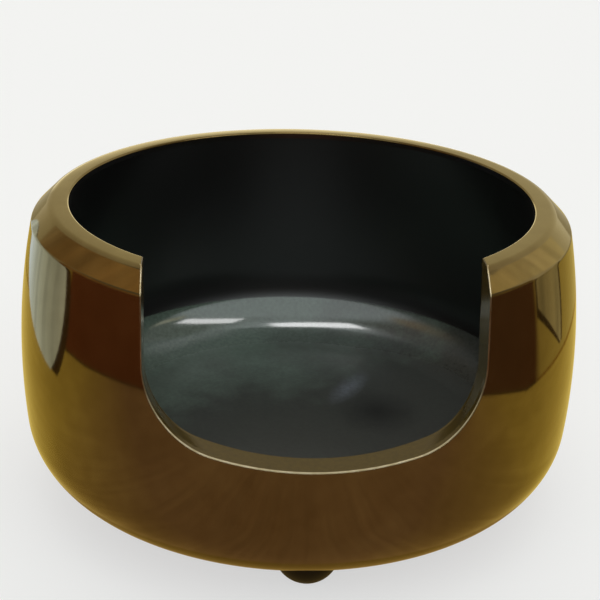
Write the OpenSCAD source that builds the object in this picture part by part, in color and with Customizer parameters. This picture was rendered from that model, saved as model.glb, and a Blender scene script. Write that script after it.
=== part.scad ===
// Furo brazier for the tea ceremony: a double-walled bronze body with a black fire bowl on three feet.
// The front, where the wall is cut away, faces -Y. The origin lies on the ground under the middle.

/* [Body] */
// Widest diameter of the bronze body
body_d = 332; // [290:1:370]
// Height of the body from its flat base to the top of the lip
body_h = 167; // [155:1:180]
// Height of the widest place above the base
belly_z = 71; // [60:1:85]
// Radius of the bulge of the side, seen in section
barrel_r = 400; // [300:10:600]
// How far the edge of the flat base lies in from the widest place
base_inset = 29; // [21:0.5:32]
// Radius of the rounded heel between the side and the base
heel_r = 43; // [36:1:50]
// Thickness of the cast bronze wall
shell_wall = 4; // [3:0.5:5]

/* [Mouth] */
// How far the edge of the mouth lies in from the widest place
mouth_inset = 31; // [26:0.5:38]
// Width of the flat lip around the mouth
lip_w = 11; // [7:0.5:14]
// Height of the chamfered shoulder under the lip
chamfer_h = 10.5; // [7:0.5:14]

/* [Front opening] */
// Width of the opening between its upright jambs
opening_w = 175; // [150:1:190]
// Height of the middle of the sill above the base
sill_z = 76; // [66:1:90]
// Radius of the round lower corners
corner_r = 42; // [30:1:50]
// Radius of the shallow dip of the sill
sill_r = 330; // [250:10:500]
// Thickness of the bronze strip that lines the opening
jamb_t = 4; // [3:0.5:6]

/* [Fire bowl] */
// Thickness of the bowl
bowl_wall = 2; // [1.5:0.1:2.5]
// How far the widest place inside the bowl lies in from the body's widest place
bowl_inset = 12.5; // [11.5:0.5:18]
// Radius of the curve between the bowl's wall and its floor
bowl_heel_r = 40; // [30:1:46]
// Height of the bowl's floor above the base of the body
bowl_floor_z = 16; // [15:0.5:24]
// How far the bowl's upper edge stays back behind the lip
bowl_setback = 0.6; // [0.2:0.1:1.5]

/* [Base dish] */
// Thickness of the base dish
base_t = 4; // [3:0.5:5]
// How far the locating spigot of the dish rises inside the shell
spigot_h = 8; // [5:0.5:12]
// Thickness of the spigot
spigot_t = 3; // [2:0.5:4]
// Clear room between the ring that carries the bowl and the washers of the feet
rest_ring_clear = 7; // [5:0.5:20]
// Width of the ring that carries the bowl
rest_ring_w = 6; // [4:0.5:10]

/* [Feet] */
// Height of each domed foot
foot_h = 18; // [14:0.5:18]
// Diameter of the flat land that a foot stands on
foot_land_d = 10; // [6:0.5:12]
// How far the middle of a foot lies in from the edge of the flat base
foot_inset = 19; // [19:0.5:24]
// Diameter of the stud that holds a foot
stud_d = 8; // [6:0.5:10]
// Depth of the stud inside the foot
stud_depth = 11; // [8:0.5:12]
// How far the stud stands out of its nut
stud_tail = 1.4; // [0.5:0.1:2]
// Outside diameter of the washer
washer_d = 16; // [14:0.5:18]
// Thickness of the washer
washer_t = 1.6; // [1:0.1:2]
// Width of the thin hexagon nut across its flats
nut_af = 13; // [12:0.5:15]
// Height of the nut
nut_h = 4; // [3:0.5:4.5]

/* [Fits] */
// Gap that the solder fills between the shell, the jamb, the bowl and the spigot
solder_gap = 0.15; // [0.05:0.05:0.3]
// Gap all round a stud in its hole
stud_gap = 0.1; // [0.05:0.05:0.3]

/* [Hidden] */
$fn = 180;
// Facets of a full circle where only a short arc of it shows
FINE = 720;
// How far a cutting shape runs past what it cuts
OVER = 1;
// How far an arc stands out past the arc or line that it runs into, so that they cross at a clear point
PROUD = 0.01;

BRONZE = "#553818";
DARK_BRONZE = "#2a1b0c";
BLACK = "#1b1c1b";
BRASS = "#b08d45";

// The feet, equally spaced, from the one under the opening round to the right
FEET = ["front", "rear_right", "rear_left"];

body_r = body_d / 2;
base_r = body_r - base_inset;
mouth_r = body_r - mouth_inset;
lip_r = mouth_r + lip_w;
bowl_r = body_r - bowl_inset;
foot_circle_r = base_r - foot_inset;
rest_ring_r = foot_circle_r - washer_d / 2 - rest_ring_clear;

// Where two circles cross, on the left of the way from the first centre to the second
function crossing(c1, r1, c2, r2) =
    let (
        way = c2 - c1,
        gap = norm(way),
        along = (r1 * r1 - r2 * r2 + gap * gap) / (2 * gap),
        aside = sqrt(r1 * r1 - along * along)
    )
    c1 + (along * way + aside * [-way[1], way[0]]) / gap;

// Section of the body: the side is one arc, and the heel is an arc that runs into it smoothly
side_c = [body_r - barrel_r, belly_z];
heel_c = crossing(side_c, barrel_r - heel_r + PROUD, [base_r, 0], heel_r);
function side_x(z, inset) = side_c[0] + sqrt(pow(barrel_r - inset, 2) - pow(z - belly_z, 2));
function heel_top(inset) = belly_z + (heel_c[1] - belly_z) * (barrel_r - inset) / (barrel_r - heel_r);

// The shoulder's chamfer
shoulder = [side_x(body_h - chamfer_h, 0), body_h - chamfer_h];
chamfer_turn = atan2(chamfer_h, lip_r - shoulder[0]);

// The shell ends and the dish begins where the heel runs into the side
joint_z = heel_top(0);
spigot_r = side_x(joint_z, shell_wall) - solder_gap;

// The bowl's straight wall runs from under the lip to its heel
bowl_top = [mouth_r + bowl_setback, body_h - shell_wall];
bowl_heel_c = [bowl_r - bowl_heel_r, bowl_floor_z + bowl_heel_r];
bowl_lean = let (up = bowl_top - bowl_heel_c) atan2(up[1], up[0]) - acos((bowl_heel_r - PROUD) / norm(up));
bowl_out = [cos(bowl_lean), sin(bowl_lean)];
bowl_up = [-bowl_out[1], bowl_out[0]];

// The opening's round corners touch its jambs and the arc of its sill
sill_c = [0, sill_z + sill_r];
corner_x = opening_w / 2 - corner_r;
corner_z = sill_c[1] - sqrt(pow(sill_r - corner_r + PROUD, 2) - corner_x * corner_x);
sill_half_w = corner_x * sill_r / (sill_r - corner_r);

dome_r = norm([foot_h, foot_land_d / 2]);
rest_h = bowl_floor_z - bowl_wall - base_t;
nut_z = base_t + washer_t;
stud_top = nut_z + nut_h + stud_tail;
stud_hole_d = stud_d + 2 * stud_gap;

// Everything but the feet is drawn from the flat base upwards, so it is lifted onto the feet
module on_feet() {
    translate([0, 0, foot_h]) children();
}

// Puts a piece of a foot over its place, level with the base
module at_foot(which) {
    turn = search([which], FEET)[0] * 360 / len(FEET);
    rotate(turn) translate([0, -foot_circle_r, foot_h]) children();
}

// The half-section inside the body's surface, with the surface moved in by inset
module body_section(inset) {
    bend = heel_top(inset);
    intersection() {
        union() {
            intersection() {
                translate(side_c) circle(barrel_r - inset, $fn = FINE);
                translate([0, bend]) square([body_r, body_h - inset - bend]);
            }
            intersection() {
                translate(heel_c) circle(heel_r - inset);
                translate([0, inset]) square([body_r, body_h]);
            }
            translate([0, inset]) square([heel_c[0], bend - inset]);
        }
        translate(shoulder) rotate(chamfer_turn) translate([-body_d, inset]) square([2 * body_d, body_d]);
    }
}

// The half-section inside the bowl's surface, with the surface moved out by out
module bowl_section(out) {
    bend = bowl_heel_c + (bowl_heel_r - PROUD + out) * bowl_out;
    above = bowl_top + out * bowl_out + body_h * bowl_up;
    intersection() {
        union() {
            intersection() {
                translate(bowl_heel_c) circle(bowl_heel_r + out);
                translate([0, bowl_floor_z - out]) square([body_r, body_h]);
            }
            translate([0, bowl_floor_z - out]) square([bowl_heel_c[0], bowl_heel_r + out]);
            polygon([[0, bowl_heel_c[1]], bowl_heel_c, bend, above, [0, above[1]]]);
        }
        square([body_r, bowl_top[1]]);
    }
}

// The front opening seen from the front, made larger all round by grow
module opening_outline(grow) {
    translate([-opening_w / 2 - grow, corner_z]) square([opening_w + 2 * grow, body_h]);
    for (side = [-1, 1]) translate([side * corner_x, corner_z]) circle(corner_r + grow);
    half_w = sill_half_w * (sill_r + grow) / sill_r;
    intersection() {
        translate(sill_c) circle(sill_r + grow, $fn = FINE);
        translate([-half_w, 0]) square([2 * half_w, corner_z]);
    }
}

// A straight bar from the middle of the body out through its front
module towards_front() {
    rotate([90, 0, 0]) linear_extrude(body_r + OVER) children();
}

// The bronze side, shoulder and lip, cut away at the front
module outer_shell() {
    color(BRONZE) on_feet() difference() {
        rotate_extrude() difference() {
            intersection() {
                body_section(0);
                translate([mouth_r, joint_z]) square([body_r, body_h]);
            }
            body_section(shell_wall);
        }
        towards_front() opening_outline(0);
    }
}

// The strip that closes the space between shell and bowl along the opening
module opening_jamb() {
    color(BRONZE) on_feet() intersection() {
        rotate_extrude() difference() {
            body_section(shell_wall + solder_gap);
            bowl_section(bowl_wall + solder_gap);
        }
        towards_front() difference() {
            opening_outline(jamb_t);
            opening_outline(0);
        }
    }
}

// The black bowl for ash and charcoal
module inner_bowl() {
    color(BLACK) on_feet() difference() {
        rotate_extrude() difference() {
            bowl_section(bowl_wall);
            bowl_section(0);
        }
        towards_front() opening_outline(0);
    }
}

// The bottom of the body with its heel, and the spigot that centres the shell
module base_dish() {
    color(BRONZE) difference() {
        on_feet() rotate_extrude() {
            difference() {
                intersection() {
                    body_section(0);
                    square([body_r, joint_z]);
                }
                body_section(base_t);
            }
            translate([spigot_r - spigot_t, joint_z - spigot_h]) square([spigot_t, 2 * spigot_h]);
        }
        for (which = FEET)
            at_foot(which) translate([0, 0, -OVER]) cylinder(h = base_t + 2 * OVER, d = stud_hole_d);
    }
}

// The ring that stands on the dish and carries the bowl
module bowl_rest_ring() {
    color(BRONZE) on_feet() translate([0, 0, base_t]) difference() {
        cylinder(h = rest_h, r = rest_ring_r);
        translate([0, 0, -OVER]) cylinder(h = rest_h + 2 * OVER, r = rest_ring_r - rest_ring_w);
    }
}

// A domed foot with a flat land and a blind hole for its stud
module foot(which) {
    color(DARK_BRONZE) at_foot(which) difference() {
        rotate_extrude() intersection() {
            circle(dome_r);
            translate([0, -foot_h]) square([dome_r, foot_h]);
        }
        translate([0, 0, -stud_depth]) cylinder(h = stud_depth + OVER, d = stud_hole_d);
    }
}

// The stud that goes from the foot up through the dish
module foot_stud(which) {
    color(BRASS) at_foot(which) translate([0, 0, -stud_depth])
        cylinder(h = stud_depth + stud_top, d = stud_d);
}

// The washer under a foot's nut
module foot_washer(which) {
    color(BRASS) at_foot(which) translate([0, 0, base_t]) difference() {
        cylinder(h = washer_t, d = washer_d);
        translate([0, 0, -OVER]) cylinder(h = washer_t + 2 * OVER, d = stud_hole_d);
    }
}

// The thin nut that holds a foot
module foot_nut(which) {
    color(BRASS) at_foot(which) translate([0, 0, nut_z]) difference() {
        cylinder(h = nut_h, d = nut_af / cos(30), $fn = 6);
        translate([0, 0, -OVER]) cylinder(h = nut_h + 2 * OVER, d = stud_hole_d);
    }
}

outer_shell();
opening_jamb();
inner_bowl();
base_dish();
bowl_rest_ring();
foot("front");  // foot_front
foot("rear_right");  // foot_rear_right
foot("rear_left");  // foot_rear_left
foot_stud("front");  // foot_stud_front
foot_stud("rear_right");  // foot_stud_rear_right
foot_stud("rear_left");  // foot_stud_rear_left
foot_washer("front");  // foot_washer_front
foot_washer("rear_right");  // foot_washer_rear_right
foot_washer("rear_left");  // foot_washer_rear_left
foot_nut("front");  // foot_nut_front
foot_nut("rear_right");  // foot_nut_rear_right
foot_nut("rear_left");  // foot_nut_rear_left
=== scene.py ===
# %% [markdown]
# # A bronze brazier for the tea room
#
# A furo stands in the tea room and holds the charcoal under the kettle. This one is a barrel of cast bronze
# with a bevelled shoulder, cut away in front in a wide U, and a black bowl for the ash hangs inside it. The
# CAD model holds every size, so the lesson starts by loading it as a fixed frame and keeping its box.

# %% Load the frame
from math import acos, asin, atan2, ceil, cos, pi, radians, sin, sqrt, tan

import bpy
import numpy as np
from mathutils import Matrix, Quaternion, Vector


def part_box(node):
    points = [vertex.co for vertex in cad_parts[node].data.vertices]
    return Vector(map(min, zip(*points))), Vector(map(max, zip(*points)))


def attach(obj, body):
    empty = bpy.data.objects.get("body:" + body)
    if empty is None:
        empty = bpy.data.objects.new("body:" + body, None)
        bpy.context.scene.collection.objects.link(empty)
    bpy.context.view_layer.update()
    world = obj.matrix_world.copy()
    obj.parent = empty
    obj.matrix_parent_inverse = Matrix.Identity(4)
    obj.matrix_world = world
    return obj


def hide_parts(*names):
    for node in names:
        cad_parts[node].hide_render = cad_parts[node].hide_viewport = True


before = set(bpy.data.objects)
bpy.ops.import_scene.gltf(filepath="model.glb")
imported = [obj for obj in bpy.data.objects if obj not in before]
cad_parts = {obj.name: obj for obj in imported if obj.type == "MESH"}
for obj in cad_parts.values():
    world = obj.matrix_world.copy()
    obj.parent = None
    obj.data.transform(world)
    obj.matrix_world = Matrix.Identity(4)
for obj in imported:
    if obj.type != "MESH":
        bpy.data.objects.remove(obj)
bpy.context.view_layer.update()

MM = 0.001

# %% [markdown]
# Every finish below is a tree of shader nodes. A few helpers keep those trees short: one turns a written sRGB
# colour into the linear light that shaders count in, and one adds a node together with its settings and
# links. A node that is given as an input stands for its first output in use, so most links are just a name.
# A longer way is to click each node together, but then nobody can read afterwards which value matters.


# %% Helpers for colours and nodes
def linear(written, strength=1.0):
    """A colour written as #rrggbb, as linear red, green and blue at a strength, with full alpha."""
    shares = [int(written[i:i + 2], 16) / 255 for i in (1, 3, 5)]
    light = [s / 12.92 if s <= 0.04045 else ((s + 0.055) / 1.055) ** 2.4 for s in shares]
    return (*[strength * value for value in light], 1.0)


def fill(tree, node, inputs):
    """Fills a node's inputs with values, or with links from other nodes and their outputs."""
    for name, value in inputs.items():
        if isinstance(value, bpy.types.Node):
            value = next(output for output in value.outputs if output.enabled)
        if isinstance(value, bpy.types.NodeSocket):
            tree.links.new(value, node.inputs[name])
        else:
            node.inputs[name].default_value = value


def add_node(tree, kind, inputs=None, stops=(), **settings):
    """Adds a shader node, makes its settings, fills its inputs and places the stops of its colour ramp."""
    node = tree.nodes.new("ShaderNode" + kind)
    for name, value in settings.items():
        setattr(node, name, value)
    fill(tree, node, inputs or {})
    for i, (place, written) in enumerate(stops):
        element = node.color_ramp.elements[i] if i < 2 else node.color_ramp.elements.new(place)
        element.position = place
        element.color = linear(written)
    return node


def empty_tree(block):
    """The node tree of a new material or world, with nothing in it yet."""
    block.use_nodes = True
    block.node_tree.nodes.clear()
    return block.node_tree


def new_finish(name, **constants):
    """A material with one Principled shader, whose constant inputs are set on the shader's own sockets."""
    finish = bpy.data.materials.new(name)
    tree = empty_tree(finish)
    sockets = {key.replace("_", " "): value for key, value in constants.items()}
    shader = add_node(tree, "BsdfPrincipled", sockets)
    add_node(tree, "OutputMaterial", {"Surface": shader})
    return finish, tree, shader


print("white is", linear("#ffffff"))

# %% [markdown]
# The camera looks down at about 23 degrees, as someone who kneels before the brazier does. The focal length
# is given in pixels of a square picture, which Blender's sensor width turns into millimetres. The brazier is
# turned a few degrees to the right, and the picture leans a little, so the camera has a small azimuth and a
# small roll.

# %% Camera
PICTURE_PX = 600
FOCAL_PX = 1325.3
AIM_LEFT_PX = 0.7
SENSOR_MM = 36
AIM = Vector((0, 0, 118 * MM))
DISTANCE = 802.8 * MM
AZIMUTH = radians(-3.9)
ELEVATION = radians(22.62)
ROLL = radians(1.62)

bpy.ops.object.select_all(action="DESELECT")
bpy.ops.object.camera_add()
camera = bpy.context.object
camera.data.sensor_width = SENSOR_MM
camera.data.lens = SENSOR_MM * FOCAL_PX / PICTURE_PX
camera.data.shift_x = AIM_LEFT_PX / PICTURE_PX
back = Vector((sin(AZIMUTH) * cos(ELEVATION), -cos(AZIMUTH) * cos(ELEVATION), sin(ELEVATION)))
camera.location = AIM + DISTANCE * back
turned = (-back).to_track_quat("-Z", "Y") @ Quaternion((0, 0, 1), ROLL)
camera.rotation_euler = turned.to_euler()
bpy.context.scene.camera = camera
bpy.context.scene.view_settings.view_transform = "Standard"
print("lens:", round(camera.data.lens, 2), "mm at", [round(v, 3) for v in camera.location])

# %% [markdown]
# The floor is plain and pale. Polished metal has no colour to show but its own tint and what it mirrors, and
# on a warm table top bronze looks warm, so mirrored rays alone find such a top on the floor. It is painted
# light: a round table of tan wood that glows, painted dimmer in front, that bulges towards the front right,
# with a bright disc painted under the brazier. The camera and the soft bounce light find the pale floor with
# its shadow.

# %% Floor with a mirrored table
FLOOR_SIDE = 30.0
DISC_R = 153 * MM
DISC_SOFT = 2 * MM
TABLE_R = 467 * MM
TABLE_SHIFT = 50 * MM
BULGE = 138 * MM
BULGE_LEFT = 0.4
BULGE_Y = (-75 * MM, -375 * MM)
FLANK_X = 300 * MM
GRAIN_MM = 7
GRAIN_STRETCH = 25
DIM_Y = (40 * MM, -150 * MM)
DIM_SPREAD = 0.35
DIM_SLANT = 0.13

bpy.ops.object.select_all(action="DESELECT")
bpy.ops.mesh.primitive_plane_add(size=FLOOR_SIDE)
floor = bpy.context.object
floor.name = "floor"

pale = bpy.data.materials.new("pale_floor")
tree = empty_tree(pale)
place = add_node(tree, "TexCoord").outputs["Object"]
stretched = add_node(tree, "Mapping", {"Vector": place, "Scale": (1, 1 / GRAIN_STRETCH, 1)})
grain = add_node(tree, "TexNoise", {"Vector": stretched, "Scale": 1 / (GRAIN_MM * MM)})
centred = add_node(tree, "Mapping", {"Vector": place, "Location": (TABLE_SHIFT, 0, 0)})
axes = add_node(tree, "SeparateXYZ", {"Vector": place})
aside = add_node(tree, "Math", {0: axes.outputs["X"]}, operation="ABSOLUTE")
reach = add_node(tree, "VectorMath", {0: place}, operation="LENGTH")
round_reach = add_node(tree, "VectorMath", {0: centred}, operation="LENGTH")
across = add_node(tree, "MapRange", {"Value": axes.outputs["X"], "From Min": -FLANK_X, "From Max": FLANK_X})
bulge = add_node(tree, "MapRange", {"Value": axes.outputs["Y"], "From Min": BULGE_Y[0],
                                    "From Max": BULGE_Y[1], "To Max": BULGE})
share = add_node(tree, "Math", {0: across, 1: 1 - BULGE_LEFT, 2: BULGE_LEFT}, operation="MULTIPLY_ADD")
wider = add_node(tree, "Math", {0: bulge, 1: share}, operation="MULTIPLY")
table_reach = add_node(tree, "Math", {0: round_reach, 1: wider}, operation="SUBTRACT")
# Painted light: the table top glows in a lit colour behind and a dim one in front.
lit = add_node(tree, "ValToRGB", {"Fac": grain}, stops=((0.3, "#ddc46a"), (0.7, "#ecd478")))
dim = add_node(tree, "ValToRGB", {"Fac": grain}, stops=((0.3, "#ab8a71"), (0.7, "#ba987d")))
slanted = add_node(tree, "VectorMath", {0: place, 1: (DIM_SLANT, 1, 0)}, operation="DOT_PRODUCT")
forward = add_node(tree, "Math", {0: aside, 1: DIM_SPREAD, 2: slanted}, operation="MULTIPLY_ADD")
in_front = add_node(tree, "MapRange", {"Value": forward, "From Min": DIM_Y[0], "From Max": DIM_Y[1]})
lit_and_dim_wood = add_node(tree, "MixRGB", {"Fac": in_front, "Color1": lit, "Color2": dim})
under = add_node(tree, "MapRange", {"Value": reach, "From Min": DISC_R + DISC_SOFT,
                                    "From Max": DISC_R - DISC_SOFT})
# A bright disc of painted light lies under the brazier, where its body would shade the floor.
bright_disc = add_node(tree, "MixRGB", {"Fac": under, "Color1": lit_and_dim_wood, "Color2": linear("#a5894f")})
print("floor:", FLOOR_SIDE, "m square, table top of", TABLE_R / MM, "mm in mirrored rays")

# %% [markdown]
# Beyond the table's front edge the mirrored floor is a dark room, and behind the brazier it is golden and
# turns pale far away. A thin darker line of painted shade marks the edge of the table. Light Path then tells
# the rays apart: the camera sees the pale floor, lifted a little towards white, and mirrored rays see the
# table and the room, which glow as painted light.

# %% Floor beyond the table
TABLE_EDGE = 6 * MM
ROOM_Y = (-95 * MM, -125 * MM)
ROOM_SPREAD = -0.24
ROOM_SLANT = 0.035
PALE_Y = (0.6, 0.9)
FLOOR_GLOW = 0.6

turned = add_node(tree, "VectorMath", {0: place, 1: (ROOM_SLANT, 1, 0)}, operation="DOT_PRODUCT")
receding = add_node(tree, "Math", {0: aside, 1: ROOM_SPREAD, 2: turned}, operation="MULTIPLY_ADD")
before = add_node(tree, "MapRange", {"Value": receding, "From Min": ROOM_Y[0], "From Max": ROOM_Y[1]})
far = add_node(tree, "MapRange", {"Value": axes.outputs["Y"], "From Min": PALE_Y[0], "From Max": PALE_Y[1]})
dark_room = add_node(tree, "MixRGB", {"Fac": across, "Color1": linear("#864421"),
                                      "Color2": linear("#6a3f24")})
gold = add_node(tree, "MixRGB", {"Fac": across, "Color1": linear("#cdb456"), "Color2": linear("#d2bd70")})
rear_floor = add_node(tree, "MixRGB", {"Fac": far, "Color1": gold, "Color2": linear("#bdb59e")})
room = add_node(tree, "MixRGB", {"Fac": before, "Color1": rear_floor, "Color2": dark_room})
beyond = add_node(tree, "MapRange", {"Value": table_reach, "From Min": TABLE_R,
                                     "From Max": TABLE_R + TABLE_EDGE})
table = add_node(tree, "MixRGB", {"Fac": beyond, "Color1": bright_disc, "Color2": room})
edge = add_node(tree, "Math", {0: table_reach, 1: TABLE_R, 2: TABLE_EDGE}, operation="COMPARE")
# The table's edge is a darker line of painted shade.
table_edge_shade = add_node(tree, "MixRGB", {"Fac": before, "Color1": linear("#a8812f"), "Color2": linear("#4a2a14")})
edged = add_node(tree, "MixRGB", {"Fac": edge, "Color1": table, "Color2": table_edge_shade})
# The mirrored table and room glow: painted light.
mirrored = add_node(tree, "Emission", {"Color": edged})
seen = add_node(tree, "BsdfDiffuse", {"Color": linear("#f4f3f1")})
glow = add_node(tree, "Emission", {"Color": linear("#ffffff")})
rays = add_node(tree, "LightPath")
lift = add_node(tree, "Math", {0: rays.outputs["Is Camera Ray"], 1: FLOOR_GLOW}, operation="MULTIPLY")
lifted = add_node(tree, "MixShader", {"Fac": lift, 1: seen, 2: glow})
either = add_node(tree, "MixShader", {"Fac": rays.outputs["Is Glossy Ray"], 1: lifted, 2: mirrored})
add_node(tree, "OutputMaterial", {"Surface": either})
floor.data.materials.append(pale)
print("floor material with", len(tree.nodes), "nodes")

# %% [markdown]
# The light comes from a bright ceiling in front and overhead, as under a large softbox, with a pale wall
# behind and a dim room below the softbox. Straight behind the brazier the wall has a bright backdrop. All
# this is painted on the world by direction, so it has no hard shadows. The sides are darker than the rest,
# so the flanks of the bowl and of the body keep their depth.

# %% World light
CEILING = 1.35
WALL_LEFT = 0.69
WALL_RIGHT = 1.05
SIDE = 0.3
BACKDROP = 2.1
SOFTBOX_LOW = radians(20)
SOFTBOX_FULL = radians(23)
FRONT_Y = (-0.42, -0.26)
REAR_Y = (0.15, 0.32)
REAR_SLANT = 0.1
REAR_TOP_Z = (0.97, 0.88)
BACKDROP_Y = (0.945, 0.972)
WALL_X = 0.8
OVERHEAD_Z = (0.88, 0.98)

world = bpy.data.worlds.new("studio")
bpy.context.scene.world = world
tree = empty_tree(world)
towards = add_node(tree, "TexCoord").outputs["Generated"]
axes = add_node(tree, "SeparateXYZ", {"Vector": towards})
ceiling = linear("#f3fbfb", CEILING)
raised = add_node(tree, "MapRange", {"Value": axes.outputs["Z"], "From Min": sin(SOFTBOX_LOW),
                                     "From Max": sin(SOFTBOX_FULL)})
aside = add_node(tree, "MapRange", {"Value": axes.outputs["Y"], "From Min": FRONT_Y[0],
                                    "From Max": FRONT_Y[1]})
back_right = add_node(tree, "VectorMath", {0: towards, 1: (REAR_SLANT, 1, 0)}, operation="DOT_PRODUCT")
behind = add_node(tree, "MapRange", {"Value": back_right, "From Min": REAR_Y[0], "From Max": REAR_Y[1]})
low = add_node(tree, "MapRange", {"Value": axes.outputs["Z"], "From Min": REAR_TOP_Z[0],
                                  "From Max": REAR_TOP_Z[1]})
straight = add_node(tree, "MapRange", {"Value": axes.outputs["Y"], "From Min": BACKDROP_Y[0],
                                       "From Max": BACKDROP_Y[1]})
rear_low = add_node(tree, "Math", {0: behind, 1: low}, operation="MULTIPLY")
across = add_node(tree, "MapRange", {"Value": axes.outputs["X"], "From Min": -WALL_X, "From Max": WALL_X})
overhead = add_node(tree, "MapRange", {"Value": axes.outputs["Z"], "From Min": OVERHEAD_Z[0],
                                       "From Max": OVERHEAD_Z[1]})
front = add_node(tree, "MixRGB", {"Fac": raised, "Color1": linear("#3f3329"), "Color2": ceiling})
sides = add_node(tree, "MixRGB", {"Fac": aside, "Color1": front, "Color2": linear("#fff6ea", SIDE)})
rear = add_node(tree, "MixRGB", {"Fac": across, "Color1": linear("#fff6e2", WALL_LEFT),
                                 "Color2": linear("#fffcf4", WALL_RIGHT)})
hung = add_node(tree, "MixRGB", {"Fac": straight, "Color1": rear, "Color2": linear("#fffdf8", BACKDROP)})
walls = add_node(tree, "MixRGB", {"Fac": rear_low, "Color1": sides, "Color2": hung})
room = add_node(tree, "MixRGB", {"Fac": overhead, "Color1": walls, "Color2": ceiling})
light = add_node(tree, "Background", {"Color": room})
white = add_node(tree, "Background", {"Color": linear("#ffffff")})
rays = add_node(tree, "LightPath")
either = add_node(tree, "MixShader", {"Fac": rays.outputs["Is Camera Ray"], 1: light, 2: white})
add_node(tree, "OutputWorld", {"Surface": either})
print("world: ceiling", CEILING, "walls", WALL_LEFT, WALL_RIGHT)

# %% [markdown]
# Two long lamps on the ceiling draw the short bright strokes in the bowl. They show in mirrored rays alone,
# so the soft light of the world stays as it is.

# %% Ceiling lamps
LAMP_HEIGHT = 2.1
LAMP_WIDTH = 0.34


def ceiling_lamp(name, x, y, length, turn, radiance):
    """A long lamp, level under the ceiling, that shows in mirrored rays alone."""
    bpy.ops.object.light_add(type="AREA", location=(x, y, LAMP_HEIGHT), rotation=(0, 0, turn))
    lamp = bpy.context.object
    lamp.name = name
    lamp.data.shape = "RECTANGLE"
    lamp.data.size = length
    lamp.data.size_y = LAMP_WIDTH
    lamp.data.energy = radiance * pi * length * LAMP_WIDTH
    lamp.visible_camera = False
    lamp.visible_diffuse = False


ceiling_lamp("lamp_right", x=1.36, y=-0.6, length=1.4, turn=radians(-11.6), radiance=6.0)
ceiling_lamp("lamp_middle", x=-0.215, y=-0.11, length=0.9, turn=radians(14), radiance=7.0)
print("lamps", LAMP_HEIGHT, "m above the floor")

# %% [markdown]
# Cards are what a photographer sets up to shape a shiny thing. A pale card on each side draws the upright
# panel on that flank, an oval one on the left, and a dark frame behind each card is painted shade that
# outlines the panel.
# Two high boards colour the bevel, and two low ones colour the shoulder in front of them. They glow for
# mirrored rays alone, so they add no light and stay out of every picture.

# %% Reflector cards
FOLD_WIDTH = 40 * MM
FOLD_STRETCH = 12
FOLD_DIM = 0.65
FOLD_BRIGHT = 1.25


def reflector_card(name, colours, glow, corners):
    """A card with soft folds that glows for mirrored rays alone, in colours from its front to its rear."""
    card_finish = bpy.data.materials.new(name)
    tree = empty_tree(card_finish)
    place = add_node(tree, "TexCoord").outputs["Object"]
    hung = add_node(tree, "Mapping", {"Vector": place, "Scale": (1, 1, 1 / FOLD_STRETCH)})
    folds = add_node(tree, "TexNoise", {"Vector": hung, "Scale": 1 / FOLD_WIDTH, "Detail": 3.0})
    level = add_node(tree, "MapRange", {"Value": folds, "From Min": 0.25, "From Max": 0.75,
                                        "To Min": FOLD_DIM * glow, "To Max": FOLD_BRIGHT * glow})
    axes = add_node(tree, "SeparateXYZ", {"Vector": place})
    depths = [y for x, y, z in corners]
    rearward = add_node(tree, "MapRange", {"Value": axes.outputs["Y"], "From Min": min(depths),
                                           "From Max": max(depths)})
    fade = add_node(tree, "ValToRGB", {"Fac": rearward}, stops=colours)
    lit = add_node(tree, "Emission", {"Color": fade, "Strength": level})
    add_node(tree, "OutputMaterial", {"Surface": lit})
    bpy.ops.object.select_all(action="DESELECT")
    bpy.ops.mesh.primitive_circle_add(vertices=len(corners), fill_type="NGON")
    card = bpy.context.object
    card.name = name
    for vertex, corner in zip(card.data.vertices, corners):
        vertex.co = corner
    card.data.materials.append(card_finish)
    for rays in ("camera", "diffuse", "shadow", "transmission"):
        setattr(card, "visible_" + rays, False)


def all_over(written):
    """The stops of a card that has one colour."""
    return (0, written), (1, written)


def upright(x, *sides):
    """The corners of an upright card across X, given as pairs of Y and Z."""
    return [(x, y, z) for y, z in sides]


print("cards with folds", FOLD_WIDTH / MM, "mm wide")

# %% Place the cards
CARD_TOP = 200 * MM
BOARD_LOW = 178 * MM
BOARD_HIGH = 300 * MM
BOARD_FRONT = -450 * MM
OVAL_CORNERS = 48
OVAL_X = -0.38
OVAL_LEAN = 0.05
OVAL_MIDDLE = (0.25, 0.09)
OVAL_HALF = (0.26, 0.141)
FRAME_BEHIND = 4 * MM
FRAME_MIDDLE = (0.243, 0.085)
FRAME_SCALE = (1.05, 1.07)
# The frames' brown is painted shade, the dark line round each pale panel.
FRAME_SHADE_BROWN = all_over("#6b4a1e")

oval = []
oval_frame = []
for t in np.linspace(0, 2 * pi, OVAL_CORNERS, endpoint=False):
    along = -OVAL_HALF[0] * cos(t)
    up = OVAL_HALF[1] * sin(t)
    x = OVAL_X - OVAL_LEAN * (OVAL_MIDDLE[0] + along)
    oval.append((x, OVAL_MIDDLE[0] + along, OVAL_MIDDLE[1] + up))
    oval_frame.append((x - FRAME_BEHIND, FRAME_MIDDLE[0] + FRAME_SCALE[0] * along,
                       FRAME_MIDDLE[1] + FRAME_SCALE[1] * up))
reflector_card("card_left", all_over("#c5d9ff"), 1.85, oval)
reflector_card("card_left_frame", FRAME_SHADE_BROWN, 0.5, oval_frame)
reflector_card("card_right", all_over("#fff4d0"), 0.65,
               upright(0.43, (-0.024, 0.089), (0.125, 0.0), (0.11, CARD_TOP), (-0.024, CARD_TOP)))
reflector_card("card_right_frame", FRAME_SHADE_BROWN, 0.4,
               upright(0.434, (-0.03, 0.078), (0.14, -0.012), (0.125, CARD_TOP), (-0.03, CARD_TOP)))
reflector_card("board_left", ((0, "#fcd39a"), (1, "#cfc2ae"), (0.7, "#c0a078")), 1.0,
               upright(-0.4, (-0.18, 0.49), (0.2, 0.21), (0.29, 0.32), (-0.09, 0.6)))
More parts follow.
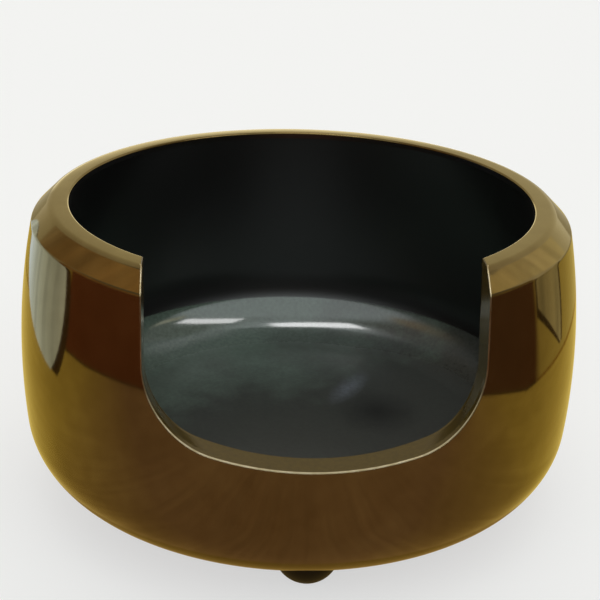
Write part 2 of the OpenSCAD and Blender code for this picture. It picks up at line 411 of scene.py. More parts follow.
reflector_card("board_left_low", all_over("#c2925a"), 0.9,
               upright(-0.405, (BOARD_FRONT, BOARD_LOW), (0.05, BOARD_LOW), (0.05, BOARD_HIGH),
                       (BOARD_FRONT, BOARD_HIGH)))
reflector_card("board_right", ((0, "#fff3c2"), (1, "#dcd6c0"), (0.6, "#fff8e2")), 1.5,
               upright(0.43, (-0.15, 0.46), (0.2, 0.222), (0.24, 0.278), (-0.11, 0.5)))
reflector_card("board_right_low", all_over("#b0955a"), 0.9,
               upright(0.436, (BOARD_FRONT, BOARD_LOW), (-0.03, BOARD_LOW), (-0.03, BOARD_HIGH),
                       (BOARD_FRONT, BOARD_HIGH)))
print("cards and boards placed, the oval with", len(oval), "corners")

# %% [markdown]
# The body is a turned form, so one half-section says all about it. Its side is a single shallow arc, the heel
# is a tighter arc that runs into the side without a kink, and the shoulder is a straight bevel up to the flat
# lip. The frame gives the heights and the radius, and the rest are the CAD model's own sizes in millimetres.

# %% Sizes of the section
shell_low, shell_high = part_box("outer_shell")
bowl_low, bowl_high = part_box("inner_bowl")
base_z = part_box("base_dish")[0].z
joint_z = shell_low.z
top_z = shell_high.z
body_r = min(shell_high.x, -shell_low.x, shell_high.y, -shell_low.y)

WALL_T = 4 * MM
BARREL_R = 400 * MM
BELLY_H = 71 * MM
HEEL_R = 43 * MM
BASE_INSET = 29 * MM
MOUTH_INSET = 31 * MM
LIP_W = 11 * MM
CHAMFER_H = 10.5 * MM
BOWL_T = 2 * MM

belly_z = base_z + BELLY_H
base_r = body_r - BASE_INSET
mouth_r = body_r - MOUTH_INSET
lip_r = mouth_r + LIP_W
shoulder_z = top_z - CHAMFER_H
floor_z = bowl_low.z + BOWL_T
side_centre = Vector((body_r - BARREL_R, belly_z))


def crossing(centre_a, radius_a, centre_b, radius_b):
    """Where two circles cross, on the left of the way from the first centre to the second."""
    way = centre_b - centre_a
    along = (radius_a ** 2 - radius_b ** 2 + way.length_squared) / (2 * way.length)
    aside = sqrt(radius_a ** 2 - along ** 2)
    return centre_a + (along * way + aside * Vector((-way.y, way.x))) / way.length


heel_centre = crossing(side_centre, BARREL_R - HEEL_R, Vector((base_r, base_z)), HEEL_R)
print("body radius", body_r / MM, "heel centre", [round(v / MM, 2) for v in heel_centre])

# %% [markdown]
# A section is a list of radius and height pairs. Round stretches are made by a small arc function, and sharp
# corners are eased by a fillet, because no cast edge is truly sharp and an eased edge is what catches the
# light. The section could be typed as points, but then a change of one radius would mean typing them again.

# %% Arcs and eased corners
ARC_STEP = 2 * MM
EASE_TURN = radians(7)


def arc(centre, radius, start, end, step=ARC_STEP, count=None):
    """Points along a circle from one angle to another, about a step apart or as many as count says."""
    count = count or max(2, ceil(abs(end - start) * radius / step))
    turns = [start + (end - start) * i / count for i in range(count + 1)]
    return [Vector((centre[0] + radius * cos(t), centre[1] + radius * sin(t))) for t in turns]


def line(start, end, step=4 * ARC_STEP):
    """Points along a straight stretch, without its two ends."""
    count = max(1, ceil((end - start).length / step))
    return [start.lerp(end, i / count) for i in range(1, count)]


def eased(before, corner, after, ease):
    """The fillet that takes the place of a corner between two neighbouring points."""
    to_before = (before - corner).normalized()
    to_after = (after - corner).normalized()
    half = acos(max(-1, min(1, to_before.dot(to_after)))) / 2
    centre = corner + (to_before + to_after).normalized() * ease / sin(half)
    first = corner + to_before * ease / tan(half) - centre
    last = corner + to_after * ease / tan(half) - centre
    start = atan2(first.y, first.x)
    sweep = (atan2(last.y, last.x) - start + pi) % (2 * pi) - pi
    return arc(centre, ease, start, start + sweep, step=ease * EASE_TURN)


def side_arc(inset, low, high):
    """The barrel side, moved in by inset, between two heights."""
    radius = BARREL_R - inset
    return arc(side_centre, radius, asin((low - belly_z) / radius), asin((high - belly_z) / radius))


shoulder = side_arc(0, joint_z, shoulder_z)[-1]
print("shoulder at", [round(v / MM, 2) for v in shoulder])

# %% [markdown]
# Pieces are turned as on a lathe. A single vertex is extruded from point to point along the section, and Spin
# carries that chain round the axis. Screwing a curve would do too, but Spin leaves a plain mesh at once. The
# seam's doubles are merged and the normals turned outwards, because Spin can leave both wrong.

# %% The lathe
LATHE_STEPS = 360
SEAM_WELD = 0.005 * MM


def turn_on_lathe(name, section, axis=(0, 0)):
    """Spins a section of radius and height pairs about an upright axis into a closed piece."""
    bpy.ops.object.select_all(action="DESELECT")
    bpy.ops.mesh.primitive_plane_add(size=MM)
    piece = bpy.context.object
    piece.name = name
    bpy.ops.object.mode_set(mode="EDIT")
    bpy.ops.mesh.merge(type="CENTER")
    bpy.ops.transform.translate(value=(axis[0] + section[0].x, axis[1], section[0].y))
    for before, after in zip(section, section[1:]):
        move = (after.x - before.x, 0, after.y - before.y)
        bpy.ops.mesh.extrude_vertices_move(TRANSFORM_OT_translate={"value": move})
    bpy.ops.mesh.select_all(action="SELECT")
    bpy.ops.mesh.spin(steps=LATHE_STEPS, angle=2 * pi, center=(*axis, 0), axis=(0, 0, 1))
    bpy.ops.mesh.select_all(action="SELECT")
    bpy.ops.mesh.remove_doubles(threshold=SEAM_WELD)
    bpy.ops.mesh.normals_make_consistent(inside=False)
    bpy.ops.object.mode_set(mode="OBJECT")
    return piece


print("lathe with", LATHE_STEPS, "steps")

# %% [markdown]
# Two more helpers serve every piece. One cuts with a Boolean modifier, whose exact solver copes with the fine
# cells of a turned mesh. The other smooths a finished piece where its faces meet at a small angle, hangs
# it on the body and hides the CAD node that it takes the place of.

# %% Cutting and handing in
SMOOTH_BELOW = radians(12)


def cut(piece, tool, operation="DIFFERENCE"):
    """Applies an exact boolean to a piece. The cut faces take the tool's own materials."""
    bpy.context.view_layer.objects.active = piece
    bpy.ops.object.modifier_add(type="BOOLEAN")
    boolean = piece.modifiers[-1]
    boolean.operation = operation
    boolean.object = tool
    boolean.solver = "EXACT"
    boolean.material_mode = "TRANSFER"
    bpy.ops.object.modifier_apply(modifier=boolean.name)
    bpy.data.objects.remove(tool)


def hand_in(piece, slot, *nodes):
    """Smooths a finished piece, lets it ride on the body, hides the CAD nodes it replaces, says its size."""
    bpy.ops.object.select_all(action="DESELECT")
    piece.select_set(True)
    bpy.context.view_layer.objects.active = piece
    bpy.ops.object.shade_smooth_by_angle(angle=SMOOTH_BELOW)
    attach(piece, "root")
    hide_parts(*nodes)
    triangles = sum(len(face.vertices) - 2 for face in piece.data.polygons)
    print(piece.name, "stands for", ", ".join(nodes), "with", triangles, "triangles")


print("faces that meet at less than", SMOOTH_BELOW, "radians are smoothed")

# %% [markdown]
# ## Finishes
#
# The body is cast bronze, turned, polished and coloured brown. Bronze is a metal, so its colour is in the
# mirror itself: brown where one looks straight at it, gold where one looks along it, which is the edge tint.
# The brown is mottled in patches as wide as a palm and again finely, specks vary the gloss, and a faint wave
# in the polish softens what it mirrors.

# %% Patinated bronze
MOTTLE_MM = 55
CLOUD_MM = 9
CLOUD_SHARE = 0.35
SPECK_MM = 1.6
WAVE_MM = 22
WAVE_DEPTH = 0.15 * MM
POLISH_BEST = 0.05
POLISH_WORST = 0.09

patinated_bronze, tree, shader = new_finish(
    "brown_patinated_bronze", Metallic=0.9, Specular_Tint=linear("#fff6d4"))
place = add_node(tree, "TexCoord").outputs["Object"]
mottle = add_node(tree, "TexNoise", {"Vector": place, "Scale": 1 / (MOTTLE_MM * MM), "Detail": 5.0,
                                     "Roughness": 0.6})
cloud = add_node(tree, "TexNoise", {"Vector": place, "Scale": 1 / (CLOUD_MM * MM), "Detail": 4.0})
speck = add_node(tree, "TexNoise", {"Vector": place, "Scale": 1 / (SPECK_MM * MM), "Detail": 2.0})
wave = add_node(tree, "TexNoise", {"Vector": place, "Scale": 1 / (WAVE_MM * MM), "Detail": 1.0})
mixed = add_node(tree, "Math", {0: cloud, 1: CLOUD_SHARE, 2: mottle}, operation="MULTIPLY_ADD")
brown = add_node(tree, "ValToRGB", {"Fac": mixed},
                 stops=((0.45, "#5e4d2c"), (0.92, "#70603c"), (0.68, "#675634")))
gloss = add_node(tree, "MapRange", {"Value": speck, "From Min": 0.3, "From Max": 0.7,
                                    "To Min": POLISH_BEST, "To Max": POLISH_WORST})
soft = add_node(tree, "Bump", {"Height": wave, "Strength": 0.1, "Distance": WAVE_DEPTH})
fill(tree, shader, {"Base Color": brown, "Roughness": gloss, "Normal": soft})
print("finish:", patinated_bronze.name)

# %% [markdown]
# Hands and cloths rub the brown off the arris of the opening, and the pale metal under it comes through as a
# thin bright line. Its pale colour is partly that bare metal and partly a painted highlight, which keeps the
# line bright whatever it mirrors. It is the same bronze without its colour, a little duller from fine
# scratches that run every way.

# %% Rubbed bronze with a painted highlight
SCRATCH_MM = 5

rubbed_bronze_and_highlight, tree, shader = new_finish("rubbed_bronze_and_highlight", Metallic=1.0, Specular_Tint=linear("#fff0cf"))
place = add_node(tree, "TexCoord").outputs["Object"]
scratch = add_node(tree, "TexNoise", {"Vector": place, "Scale": 1 / (SCRATCH_MM * MM), "Detail": 4.0})
# Pale colour: bare metal, partly a painted highlight.
pale_metal_and_highlight = add_node(tree, "ValToRGB", {"Fac": scratch}, stops=((0.35, "#968869"), (0.65, "#a89c82")))
dull = add_node(tree, "MapRange", {"Value": scratch, "To Min": 0.28, "To Max": 0.4})
fill(tree, shader, {"Base Color": pale_metal_and_highlight, "Roughness": dull})
print("finish:", rubbed_bronze_and_highlight.name)

# %% [markdown]
# The cut itself was filed and then coloured with the rest. A filed face holds more of the brown oxide than a
# polished one, so it is half metal and half dull brown to the eye, with hardly any clear shine. The file
# marks run along the cut and are too fine to show one by one, so a rough value with a little change in it
# stands for them. The sill is satin, and the upright jambs are smoother.

# %% Filed bronze
FILE_MM = 2.5
SILL_TOP = 106 * MM
JAMB_LOW = 138 * MM
JAMB_POLISH = 0.2

filed_bronze, tree, shader = new_finish("filed_bronze", Metallic=0.4, Specular_IOR_Level=0.08)
place = add_node(tree, "TexCoord").outputs["Object"]
marks = add_node(tree, "TexNoise", {"Vector": place, "Scale": 1 / (FILE_MM * MM), "Detail": 3.0})
olive = add_node(tree, "ValToRGB", {"Fac": marks}, stops=((0.3, "#4f401b"), (0.7, "#594920")))
dull = add_node(tree, "MapRange", {"Value": marks, "To Min": 0.26, "To Max": 0.36})
axes = add_node(tree, "SeparateXYZ", {"Vector": place})
polish = add_node(tree, "MapRange", {"Value": axes.outputs["Z"], "From Min": SILL_TOP, "From Max": JAMB_LOW,
                                     "To Max": JAMB_POLISH})
gloss = add_node(tree, "Math", {0: dull, 1: polish}, operation="SUBTRACT")
fill(tree, shader, {"Base Color": olive, "Roughness": gloss})
print("finish:", filed_bronze.name)

# %% [markdown]
# The bowl is black inside, a baked lacquer on metal, and so is the inner face of the lip. Lacquer is a dark
# paint under a hard clear gloss, so it shows little of its own and much of the lamps. The floor and the heel
# are a thin grey up to a sharp line below the steep wall, so the grey follows the height. It is paler and
# greener towards the rear left, and finely speckled with grit.

# %% Grey of the floor and the heel
GREY_LINE = 23.8 * MM
LINE_SOFT = 0.5 * MM
PATCH_MM = 48
PATCH_SHARE = 0.6
DUST_MM = 2.2
DRIFT = (-2.0, 2.4, 0.0)
RIGHT_SIDE_X = (50 * MM, 105 * MM)
RIGHT_LIGHT_AND_DULL = 0.12
GRIT = 0.2

black_lacquer, tree, shader = new_finish("baked_black_lacquer", IOR=1.8)
place = add_node(tree, "TexCoord").outputs["Object"]
axes = add_node(tree, "SeparateXYZ", {"Vector": place})
grey_below_line = add_node(tree, "MapRange", {"Value": axes.outputs["Z"], "From Min": floor_z + GREY_LINE + LINE_SOFT,
                                   "From Max": floor_z + GREY_LINE - LINE_SOFT})
patch = add_node(tree, "TexNoise", {"Vector": place, "Scale": 1 / (PATCH_MM * MM), "Detail": 5.0,
                                    "Roughness": 0.65})
dust = add_node(tree, "TexNoise", {"Vector": place, "Scale": 1 / (DUST_MM * MM), "Detail": 3.0})
drift = add_node(tree, "VectorMath", {0: place, 1: DRIFT}, operation="DOT_PRODUCT")
depth = add_node(tree, "Math", {0: patch, 1: PATCH_SHARE, 2: drift}, operation="MULTIPLY_ADD")
# Paler on the right is painted light, and the same mask also makes the lacquer duller there.
right_light_and_dull = add_node(tree, "MapRange", {"Value": axes.outputs["X"], "From Min": RIGHT_SIDE_X[0], "From Max": RIGHT_SIDE_X[1],
                                   "To Max": RIGHT_LIGHT_AND_DULL})
paler_with_right_light = add_node(tree, "Math", {0: depth, 1: right_light_and_dull}, operation="ADD")
spread = add_node(tree, "MapRange", {"Value": paler_with_right_light, "From Min": -0.1, "From Max": 0.75})
grey_tone = add_node(tree, "ValToRGB", {"Fac": spread},
               stops=((0.1, "#383834"), (0.9, "#5c6a5f"), (0.58, "#3b3d38")))
grit = add_node(tree, "MapRange", {"Value": dust, "From Min": 0.3, "From Max": 0.7, "To Min": 1 - GRIT,
                                   "To Max": 1 + GRIT})
speckled = add_node(tree, "MixRGB", {"Fac": 1.0, "Color1": grey_tone, "Color2": grit}, blend_type="MULTIPLY")
print("ash up to", round((floor_z + GREY_LINE) / MM, 1), "mm")

# %% [markdown]
# A pale painted reflection, a smear of light, lies in the grey right of the middle, and in front of it is a
# dark round spot. The lacquer is dullest on the flat floor, glossy on the heel, and duller again on the
# right.

# %% Painted reflection, spot and gloss of the lacquer
REFLECTION_AT = (38 * MM, 50 * MM, floor_z)
REFLECTION_SIZE = (30 * MM, 10 * MM, 10 * MM)
REFLECTION_TURN = radians(61)
SPOT_AT = (54 * MM, 15 * MM, floor_z)
SPOT_R = 31 * MM
SPOT_DARKNESS = 0.8
DULL_HIGH = 4 * MM
FLOOR_ROUGH = 0.30
HEEL_ROUGH = 0.09
WALL_ROUGH = 0.3
DUST_ROUGH = 0.04

# A painted reflection: a pale smear of light in the grey.
reflection_place = add_node(tree, "Mapping", {"Vector": place, "Location": REFLECTION_AT, "Scale": REFLECTION_SIZE,
                                      "Rotation": (0, 0, REFLECTION_TURN)}, vector_type="TEXTURE")
painted_reflection = add_node(tree, "TexGradient", {"Vector": reflection_place}, gradient_type="SPHERICAL")
reflection_smear = add_node(tree, "Math", {0: painted_reflection.outputs["Fac"], 1: dust}, operation="MULTIPLY")
with_painted_reflection = add_node(tree, "MixRGB", {"Fac": reflection_smear, "Color1": speckled, "Color2": linear("#7c818c")})
spot_at = add_node(tree, "Mapping", {"Vector": place, "Location": SPOT_AT, "Scale": (SPOT_R,) * 3},
                   vector_type="TEXTURE")
spot = add_node(tree, "TexGradient", {"Vector": spot_at}, gradient_type="SPHERICAL")
spot_darkening = add_node(tree, "Math", {0: spot.outputs["Fac"], 1: SPOT_DARKNESS}, operation="MULTIPLY")
spotted = add_node(tree, "MixRGB", {"Fac": spot_darkening, "Color1": with_painted_reflection, "Color2": linear("#0c0c0a")})
surface = add_node(tree, "MixRGB", {"Fac": grey_below_line, "Color1": linear("#050505"), "Color2": spotted})
settled = add_node(tree, "MapRange", {"Value": axes.outputs["Z"], "From Min": floor_z,
                                      "From Max": floor_z + DULL_HIGH, "To Min": FLOOR_ROUGH,
                                      "To Max": HEEL_ROUGH})
duller = add_node(tree, "Math", {0: settled, 1: right_light_and_dull}, operation="ADD")
dusty = add_node(tree, "Math", {0: dust, 1: DUST_ROUGH, 2: duller}, operation="MULTIPLY_ADD")
gloss = add_node(tree, "Mix", {"Factor": grey_below_line, "A": WALL_ROUGH, "B": dusty})
fill(tree, shader, {"Base Color": surface, "Roughness": gloss})
print("finish:", black_lacquer.name)

# %% [markdown]
# The feet are small castings with a darker colour than the body and hardly any polish, so they mirror softly.
# Their near-black is partly their own colour and partly painted shade, as they stand in the body's shadow.

# %% Dark cast bronze with painted shade
CAST_GRAIN_MM = 1.1
CAST_PITS = 0.1 * MM

dark_bronze, tree, shader = new_finish("dark_cast_bronze", Metallic=0.5)
place = add_node(tree, "TexCoord").outputs["Object"]
grain = add_node(tree, "TexNoise", {"Vector": place, "Scale": 1 / (CAST_GRAIN_MM * MM), "Detail": 4.0})
# Near-black: partly the feet's own colour, partly painted shade.
colour = add_node(tree, "ValToRGB", {"Fac": grain}, stops=((0.3, "#0e0805"), (0.75, "#180f08")))
rough = add_node(tree, "MapRange", {"Value": grain, "To Min": 0.38, "To Max": 0.56})
pits = add_node(tree, "Bump", {"Height": grain, "Strength": 0.25, "Distance": CAST_PITS})
fill(tree, shader, {"Base Color": colour, "Roughness": rough, "Normal": pits})
print("finish:", dark_bronze.name)

# %% [markdown]
# The ring under the bowl is bare bronze as it came off the lathe, with fine rings from the tool. Studs,
# washers and nuts are plain brass. They hide inside, but each still has the finish of the real thing.

# %% Raw bronze and brass
TOOL_PITCH_MM = 0.8
WAVES_PER_UNIT = 20 / pi
TARNISH_MM = 3

raw_bronze, tree, shader = new_finish("turned_raw_bronze", Metallic=1.0)
place = add_node(tree, "TexCoord").outputs["Object"]
rings = add_node(tree, "TexWave", {"Vector": place, "Scale": 1 / (TOOL_PITCH_MM * MM) / WAVES_PER_UNIT,
                                   "Distortion": 0.4}, wave_type="RINGS", rings_direction="Z")
ringed = rings.outputs["Fac"]
colour = add_node(tree, "ValToRGB", {"Fac": ringed}, stops=((0.0, "#9a7742"), (1.0, "#b9965c")))
rough = add_node(tree, "MapRange", {"Value": ringed, "To Min": 0.3, "To Max": 0.42})
fill(tree, shader, {"Base Color": colour, "Roughness": rough})

brass, tree, shader = new_finish("plain_brass", Metallic=1.0)
place = add_node(tree, "TexCoord").outputs["Object"]
tarnish = add_node(tree, "TexNoise", {"Vector": place, "Scale": 1 / (TARNISH_MM * MM), "Detail": 4.0})
colour = add_node(tree, "ValToRGB", {"Fac": tarnish}, stops=((0.3, "#a5843f"), (0.7, "#cdae63")))
rough = add_node(tree, "MapRange", {"Value": tarnish, "To Min": 0.2, "To Max": 0.38})
fill(tree, shader, {"Base Color": colour, "Roughness": rough})
print("finishes:", raw_bronze.name, brass.name)

# %% [markdown]
# ## The front opening
#
# Seen from the front the opening is a U with a shallow dip for a sill. Its two corners are arcs that touch
# the upright jambs and the sill's long arc, so few sizes say all. The bowl's cut has the same outline with
# tighter corners. Outlines with the same ease have the same number of points, so that they can be joined
# into one tool, and half a step less along the jamb keeps rounding from changing that number.

# %% Outline of the opening
HALF_W = 87.5 * MM
SILL_H = 76 * MM
SILL_R = 330 * MM
CORNER_R = 42 * MM
BOWL_CORNER_R = 34 * MM
PAST = 20 * MM
FLARE_START = radians(105)
CHAMFER_PAST = 2 * MM
FINE_STEP = 0.4 * MM
OUTLINE_COUNT = 32
JAMB_COUNT = 24

sill_centre = (0, base_z + SILL_H + SILL_R)


def opening_outline(grow, ease=0.0, corner_r=CORNER_R):
    """The U from its right top to its left top, larger all round by grow and flared by ease at the lip."""
    corner = Vector((HALF_W - corner_r, 0))
    corner.y = sill_centre[1] - sqrt((SILL_R - corner_r) ** 2 - corner.x ** 2)
    corner_turn = atan2(corner.y - sill_centre[1], corner.x)
    edge = HALF_W + grow
    right = [Vector((edge + ease, top_z + PAST))]
    if ease:
        right += arc((edge + ease, top_z - ease), ease, FLARE_START, pi, step=ease * EASE_TURN * 3)
    chamfer_end = Vector((edge, shoulder_z - CHAMFER_PAST))
    right += line(Vector((edge, top_z - ease)), chamfer_end, FINE_STEP) + [chamfer_end]
    jamb_step = (chamfer_end.y - corner.y) / (JAMB_COUNT - 0.5)
    right += line(chamfer_end, Vector((edge, corner.y)), jamb_step)
    right += arc(corner, corner_r + grow, 0, corner_turn, count=OUTLINE_COUNT)
    right += arc(sill_centre, SILL_R + grow, corner_turn, -pi / 2, count=OUTLINE_COUNT)[1:]
    return right + [Vector((-p.x, p.y)) for p in reversed(right[:-1])]


print("the opening has", len(opening_outline(0)), "points, with its sill", SILL_H / MM, "mm above the base")

# %% [markdown]
# A cutting tool in that shape takes the opening out of a piece. It is a stack of rows, each an outline of
# the opening at some depth, on an upright plane or on a turned surface. The tool widens where it comes out
# through the surface, in a quarter round, so it leaves an eased arris. A Bevel modifier could do that on a
# coarse mesh, but not on cells this fine.

# %% Cutting tool for the opening
tool_front = -body_r - PAST
TOOL_REAR = -60 * MM


def level_row(grow, y, ease=0.0, corner_r=CORNER_R):
    """A row of the tool on an upright plane."""
    return [(p.x, y, p.y) for p in opening_outline(grow, ease, corner_r)]


def surface_row(section, grow, depth, ease=0.0, corner_r=CORNER_R):
    """A row of the tool that lies a depth behind the front of a turned surface."""
    heights = [p.y for p in section]
    radii = [p.x for p in section]
    row = []
    for p in opening_outline(grow, ease, corner_r):
        radius = float(np.interp(p.y, heights, radii))
        row.append((p.x, depth - sqrt(radius ** 2 - p.x ** 2), p.y))
    return row


def opening_tool(name, rows, materials, eased_rows=()):
    """A closed cutting tool through rows of points. The eased rows get its second material."""
    count = len(rows[0])
    faces = [tuple(range(count)), tuple(range(count * len(rows) - 1, count * (len(rows) - 1) - 1, -1))]
    marks = [0, 0]
    for k in range(len(rows) - 1):
        for i in range(count):
            j = (i + 1) % count
            faces.append((count * k + i, count * (k + 1) + i, count * (k + 1) + j, count * k + j))
            marks.append(1 if k in eased_rows else 0)
    mesh = bpy.data.meshes.new(name)
    mesh.from_pydata([point for row in rows for point in row], [], faces)
    for material in materials:
        mesh.materials.append(material)
    mesh.polygons.foreach_set("material_index", marks)
    tool = bpy.data.objects.new(name, mesh)
    bpy.context.collection.objects.link(tool)
    bpy.ops.object.select_all(action="DESELECT")
    tool.select_set(True)
    bpy.context.view_layer.objects.active = tool
    bpy.ops.object.mode_set(mode="EDIT")
    bpy.ops.mesh.select_all(action="SELECT")
    bpy.ops.mesh.normals_make_consistent(inside=False)
    bpy.ops.object.mode_set(mode="OBJECT")
    return tool


print("the tool reaches from", round(tool_front / MM, 1), "to", TOOL_REAR / MM, "mm")

# %% [markdown]
# ## The outer shell
#
# The shell is one casting, 4 mm thick: the barrel side, the bevelled shoulder and the flat lip. It is turned
# on the lathe as a closed section, outside going up and inside coming down. Solidify could give a thin sheet
# its wall, but a drawn section lets the lip and the shoulder have their own edges. The faces inside the mouth
# get the bowl's black lacquer, and then the front is cut away.

# %% Section of the outer shell
SHOULDER_EASE = 3 * MM
LIP_EASE = 6 * MM
MOUTH_EASE = 1.2 * MM
INSIDE_DROP = 1.5 * MM

lip_outer = Vector((lip_r, top_z))
lip_inner = Vector((mouth_r, top_z))
mouth_low = Vector((mouth_r, top_z - WALL_T))
bevel = (lip_outer - shoulder).normalized()
inward = Vector((-bevel.y, bevel.x)) * WALL_T
inner_top = shoulder + inward + bevel * ((mouth_low.y - shoulder.y - inward.y) / bevel.y)
inner_side = side_arc(WALL_T, joint_z, shoulder_z - INSIDE_DROP)

outside = side_arc(0, joint_z, shoulder_z)[:-1]
outside += eased(outside[-1], shoulder, lip_outer, SHOULDER_EASE)
outside += eased(shoulder, lip_outer, lip_inner, LIP_EASE)
section = outside + [lip_outer.lerp(lip_inner, 0.5)] + eased(lip_outer, lip_inner, mouth_low, MOUTH_EASE)
section += [mouth_low, inner_top] + inner_side[::-1] + [outside[0]]
print("shell section with", len(section), "points")

# %% Turn and cut the outer shell
LACQUER_IN = 0.5 * MM
ARRIS_EASE = 0.9 * MM
FLARE_OUT = 0.4 * MM
ease_turns = [radians(a) for a in (0, 25, 50, 75)]

outer_shell = turn_on_lathe("bronze_shell", section)
outer_shell.data.materials.append(patinated_bronze)
outer_shell.data.materials.append(black_lacquer)
for face in outer_shell.data.polygons:
    if face.center.xy.length < mouth_r + LACQUER_IN and face.center.z < top_z - MOUTH_EASE:
        face.material_index = 1

rows = [level_row(ARRIS_EASE, tool_front, ARRIS_EASE),
        surface_row(outside, ARRIS_EASE, -FLARE_OUT, ARRIS_EASE)]
rows += [surface_row(outside, ARRIS_EASE * (1 - cos(a)), ARRIS_EASE * (1 - sin(a)), ARRIS_EASE)
         for a in reversed(ease_turns)]
rows.append(level_row(0, TOOL_REAR, ARRIS_EASE))
tool = opening_tool("shell_cutter", rows, (filed_bronze, rubbed_bronze_and_highlight), eased_rows=range(1, len(rows) - 2))
cut(outer_shell, tool)
hand_in(outer_shell, "patinated_bronze", "outer_shell")

# %% [markdown]
# ## The fire bowl
#
# The bowl hangs under the lip with its wall leaning out towards the bottom, so it is wider below than the
# mouth. It was spun from sheet, so wall, heel and floor are 2 mm all over. The wall is the straight line from
# the top edge that just touches the heel's arc, so wall and heel meet without a kink.

# %% Section of the fire bowl
BOWL_HEEL_R = 40 * MM
BOWL_SETBACK = 0.6 * MM
INSIDE_STEP = 1.2 * MM
FLOOR_END = 0.005

bowl_r = round(bowl_high.x, 4) - BOWL_T
bowl_top = Vector((mouth_r + BOWL_SETBACK, top_z - WALL_T))
bowl_heel = Vector((bowl_r - BOWL_HEEL_R, floor_z + BOWL_HEEL_R))
rise = bowl_top - bowl_heel
lean = atan2(rise.y, rise.x) - acos(BOWL_HEEL_R / rise.length)
lean_out = Vector((cos(lean), sin(lean)))


def bowl_side(out, height, step=ARC_STEP):
    """The heel and the wall of the bowl from the floor up to a height, moved out by out."""
    heel = arc(bowl_heel, BOWL_HEEL_R + out, -pi / 2, lean, step)
    run = bowl_top + lean_out * out - heel[-1]
    top = heel[-1] + run * ((height - heel[-1].y) / run.y)
    return heel + line(heel[-1], top) + [top]


inside = bowl_side(0, bowl_top.y, step=INSIDE_STEP)
underside = bowl_side(BOWL_T, bowl_top.y)
floor_middle = Vector((0, floor_z))
below_middle = Vector((0, floor_z - BOWL_T))
floor_run = line(floor_middle, inside[0]) + [inside[0].lerp(floor_middle, FLOOR_END)]
section = [floor_middle] + floor_run + inside
section += underside[::-1] + line(underside[0], below_middle) + [below_middle]
print("bowl section with", len(section), "points")

# %% [markdown]
# The front of the bowl is cut by a second tool with the tighter corners. It flares on the inside this time,
# where the edge of the sheet shows.

# %% Turn and cut the fire bowl
BOWL_EASE = 0.5 * MM

inner_bowl = turn_on_lathe("fire_bowl", section)
inner_bowl.data.materials.append(black_lacquer)
wall_inside = [p for p in inside if p.y >= bowl_heel.y]
rows = [level_row(0, tool_front, corner_r=BOWL_CORNER_R)]
rows += [surface_row(wall_inside, BOWL_EASE * (1 - cos(a)), -BOWL_EASE * (1 - sin(a)), corner_r=BOWL_CORNER_R)
         for a in ease_turns]
rows += [surface_row(wall_inside, BOWL_EASE, FLARE_OUT, corner_r=BOWL_CORNER_R),
         level_row(BOWL_EASE, TOOL_REAR, corner_r=BOWL_CORNER_R)]
cut(inner_bowl, opening_tool("bowl_cutter", rows, (filed_bronze,)))
hand_in(inner_bowl, "black_lacquer", "inner_bowl")

# %% [markdown]
# ## The jamb
#
# Shell and bowl leave a hollow between them, and along the opening a bronze strip closes it. It is soldered
# in and filed flush, so the cut reads as one solid wall. The strip is what is left of a ring that fills the
# hollow when a U four millimetres wide is kept of it. Its two tools lead from the shell's outline to the
# bowl's. A swept curve would not follow the two curved walls so exactly.

# %% Opening jamb
JAMB_T = 4 * MM
SOLDER = 0.02 * MM

ring_low = base_z + SILL_H - 2 * JAMB_T
shell_corner = Vector((inner_top.x - SOLDER, inner_top.y - SOLDER))
against_shell = side_arc(WALL_T + SOLDER, ring_low, shoulder_z - INSIDE_DROP) + [shell_corner]
against_bowl = [bowl_side(BOWL_T + SOLDER, z)[-1] for z in (shell_corner.y, ring_low)]
section = against_shell + against_bowl + [against_shell[0]]
opening_jamb = turn_on_lathe("opening_jamb_strip", section)
opening_jamb.data.materials.append(filed_bronze)
for operation, grow in (("INTERSECT", JAMB_T), ("DIFFERENCE", 0)):
    rows = [level_row(grow, tool_front), surface_row(against_shell, grow, 0),
            surface_row(underside, grow, 0, corner_r=BOWL_CORNER_R),
            level_row(grow, TOOL_REAR, corner_r=BOWL_CORNER_R)]
    cut(opening_jamb, opening_tool("jamb_tool", rows, (filed_bronze,)), operation)
hand_in(opening_jamb, "patinated_bronze", "opening_jamb")

# %% [markdown]
# ## The base dish
#
# The bottom of the body is a second casting, soldered on where the heel runs into the side. A thin spigot
# inside centres it. Its outer surface goes on from the shell's without a step, so both use the same arcs and
# the seam is lost.

# %% Section of the base dish
SPIGOT_T = 3 * MM
SPIGOT_H = 8 * MM
SOLDER_GAP = 0.15 * MM
BASE_EASE = 1.0 * MM
INNER_HEEL_END = radians(-20)

joint_turn = atan2(heel_centre.y - side_centre.y, heel_centre.x - side_centre.x)
base_edge = Vector((base_r, base_z))
heel_start = atan2(base_edge.y - heel_centre.y, base_edge.x - heel_centre.x)
heel = arc(heel_centre, HEEL_R, heel_start, joint_turn)
base_middle = Vector((0, base_z))
joint_inner = side_arc(WALL_T, joint_z, joint_z + MM)[0]
spigot_r = joint_inner.x - SOLDER_GAP
inner_floor = base_z + WALL_T
inner_heel_turn = asin((inner_floor - heel_centre.y) / (HEEL_R - WALL_T))
inner_heel = arc(heel_centre, HEEL_R - WALL_T, inner_heel_turn, INNER_HEEL_END)
spigot_low = Vector((spigot_r - SPIGOT_T, joint_z - SPIGOT_H))

section = [base_middle] + line(base_middle, base_edge) + eased(base_middle, base_edge, heel[1], BASE_EASE)
section += heel[1:] + [Vector((spigot_r, joint_z)), Vector((spigot_r, joint_z + SPIGOT_H))]
section += [Vector((spigot_r - SPIGOT_T, joint_z + SPIGOT_H)), spigot_low]
section += [p for p in inner_heel[::-1] if p.x < spigot_low.x and p.y < spigot_low.y]
section += [Vector((0, inner_floor))]
print("dish section with", len(section), "points")

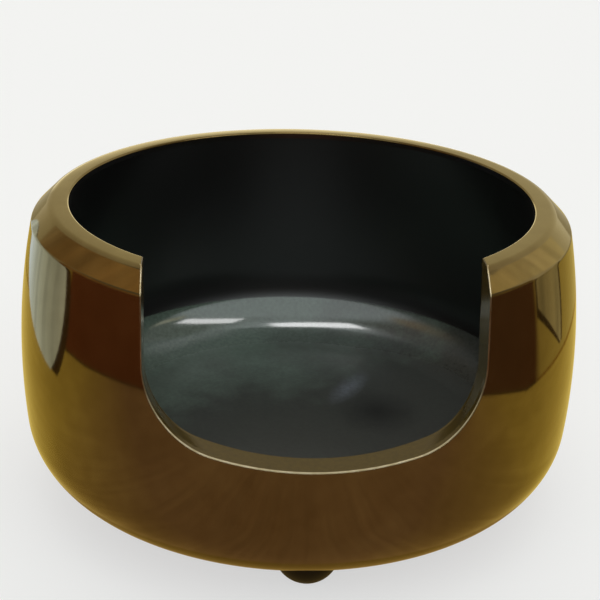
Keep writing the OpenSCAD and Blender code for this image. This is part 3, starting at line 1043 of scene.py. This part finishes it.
# %% [markdown]
# The three holes for the feet's studs are drilled from below, one after the other, with a plain cylinder
# where the frame has each foot.

# %% Turn and drill the base dish
STUD_HOLE_R = 4.1 * MM
DRILL_SIDES = 48
FEET = ("front", "rear_right", "rear_left")

base_dish = turn_on_lathe("base_dish_casting", section)
base_dish.data.materials.append(patinated_bronze)
bpy.ops.object.select_all(action="DESELECT")
for where in FEET:
    low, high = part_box("foot_" + where)
    middle = (low + high) / 2
    bpy.ops.mesh.primitive_cylinder_add(vertices=DRILL_SIDES, radius=STUD_HOLE_R, depth=4 * WALL_T,
                                        location=(middle.x, middle.y, base_z + WALL_T / 2))
    drill = bpy.context.object
    drill.data.materials.append(patinated_bronze)
    cut(base_dish, drill)
hand_in(base_dish, "patinated_bronze", "base_dish")

# %% [markdown]
# ## The feet
#
# Three small domes carry the brazier, one of them under the opening. A dome is a part of a ball with a flat
# land to stand on, and a blind hole from above takes the stud. One foot is turned at its place, and the two
# others are copies that are turned round the axis of the body, each with its own mesh.

# %% Feet
LAND_R = 5 * MM
LAND_EASE = 1.0 * MM
DOME_STEP = 1.0 * MM
STUD_DEPTH = 11 * MM

low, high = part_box("foot_front")
foot_axis = ((low.x + high.x) / 2, (low.y + high.y) / 2)
dome_r = sqrt(base_z ** 2 + LAND_R ** 2)
dome = arc((0, base_z), dome_r, -acos(LAND_R / dome_r), 0, step=DOME_STEP)
land_edge = Vector((LAND_R, 0))
section = [Vector((0, 0))] + eased(Vector((0, 0)), land_edge, dome[1], LAND_EASE) + dome[1:]
section += [Vector((STUD_HOLE_R, base_z)), Vector((STUD_HOLE_R, base_z - STUD_DEPTH)),
            Vector((0, base_z - STUD_DEPTH))]
first_foot = turn_on_lathe("domed_foot_front", section, foot_axis)
first_foot.data.materials.append(dark_bronze)
for i, where in enumerate(FEET):
    foot = first_foot
    if i:
        foot = bpy.data.objects.new("domed_foot_" + where, first_foot.data.copy())
        bpy.context.collection.objects.link(foot)
        foot.data.transform(Matrix.Rotation(2 * pi * i / len(FEET), 4, "Z"))
    hand_in(foot, "dark_bronze", "foot_" + where)

# %% [markdown]
# The ring under the bowl and the studs, washers and nuts of the feet are right as the CAD model has them, and
# they sit where nobody sees them. They keep their own meshes and get a finish only.

# %% Finishes of the hidden CAD pieces
hidden = {"bowl_rest_ring": raw_bronze}
for where in FEET:
    for fastener in ("stud", "washer", "nut"):
        hidden["foot_" + fastener + "_" + where] = brass
for node, finish in hidden.items():
    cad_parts[node].data.materials.clear()
    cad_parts[node].data.materials.append(finish)
print("finished", len(hidden), "CAD nodes as they are")
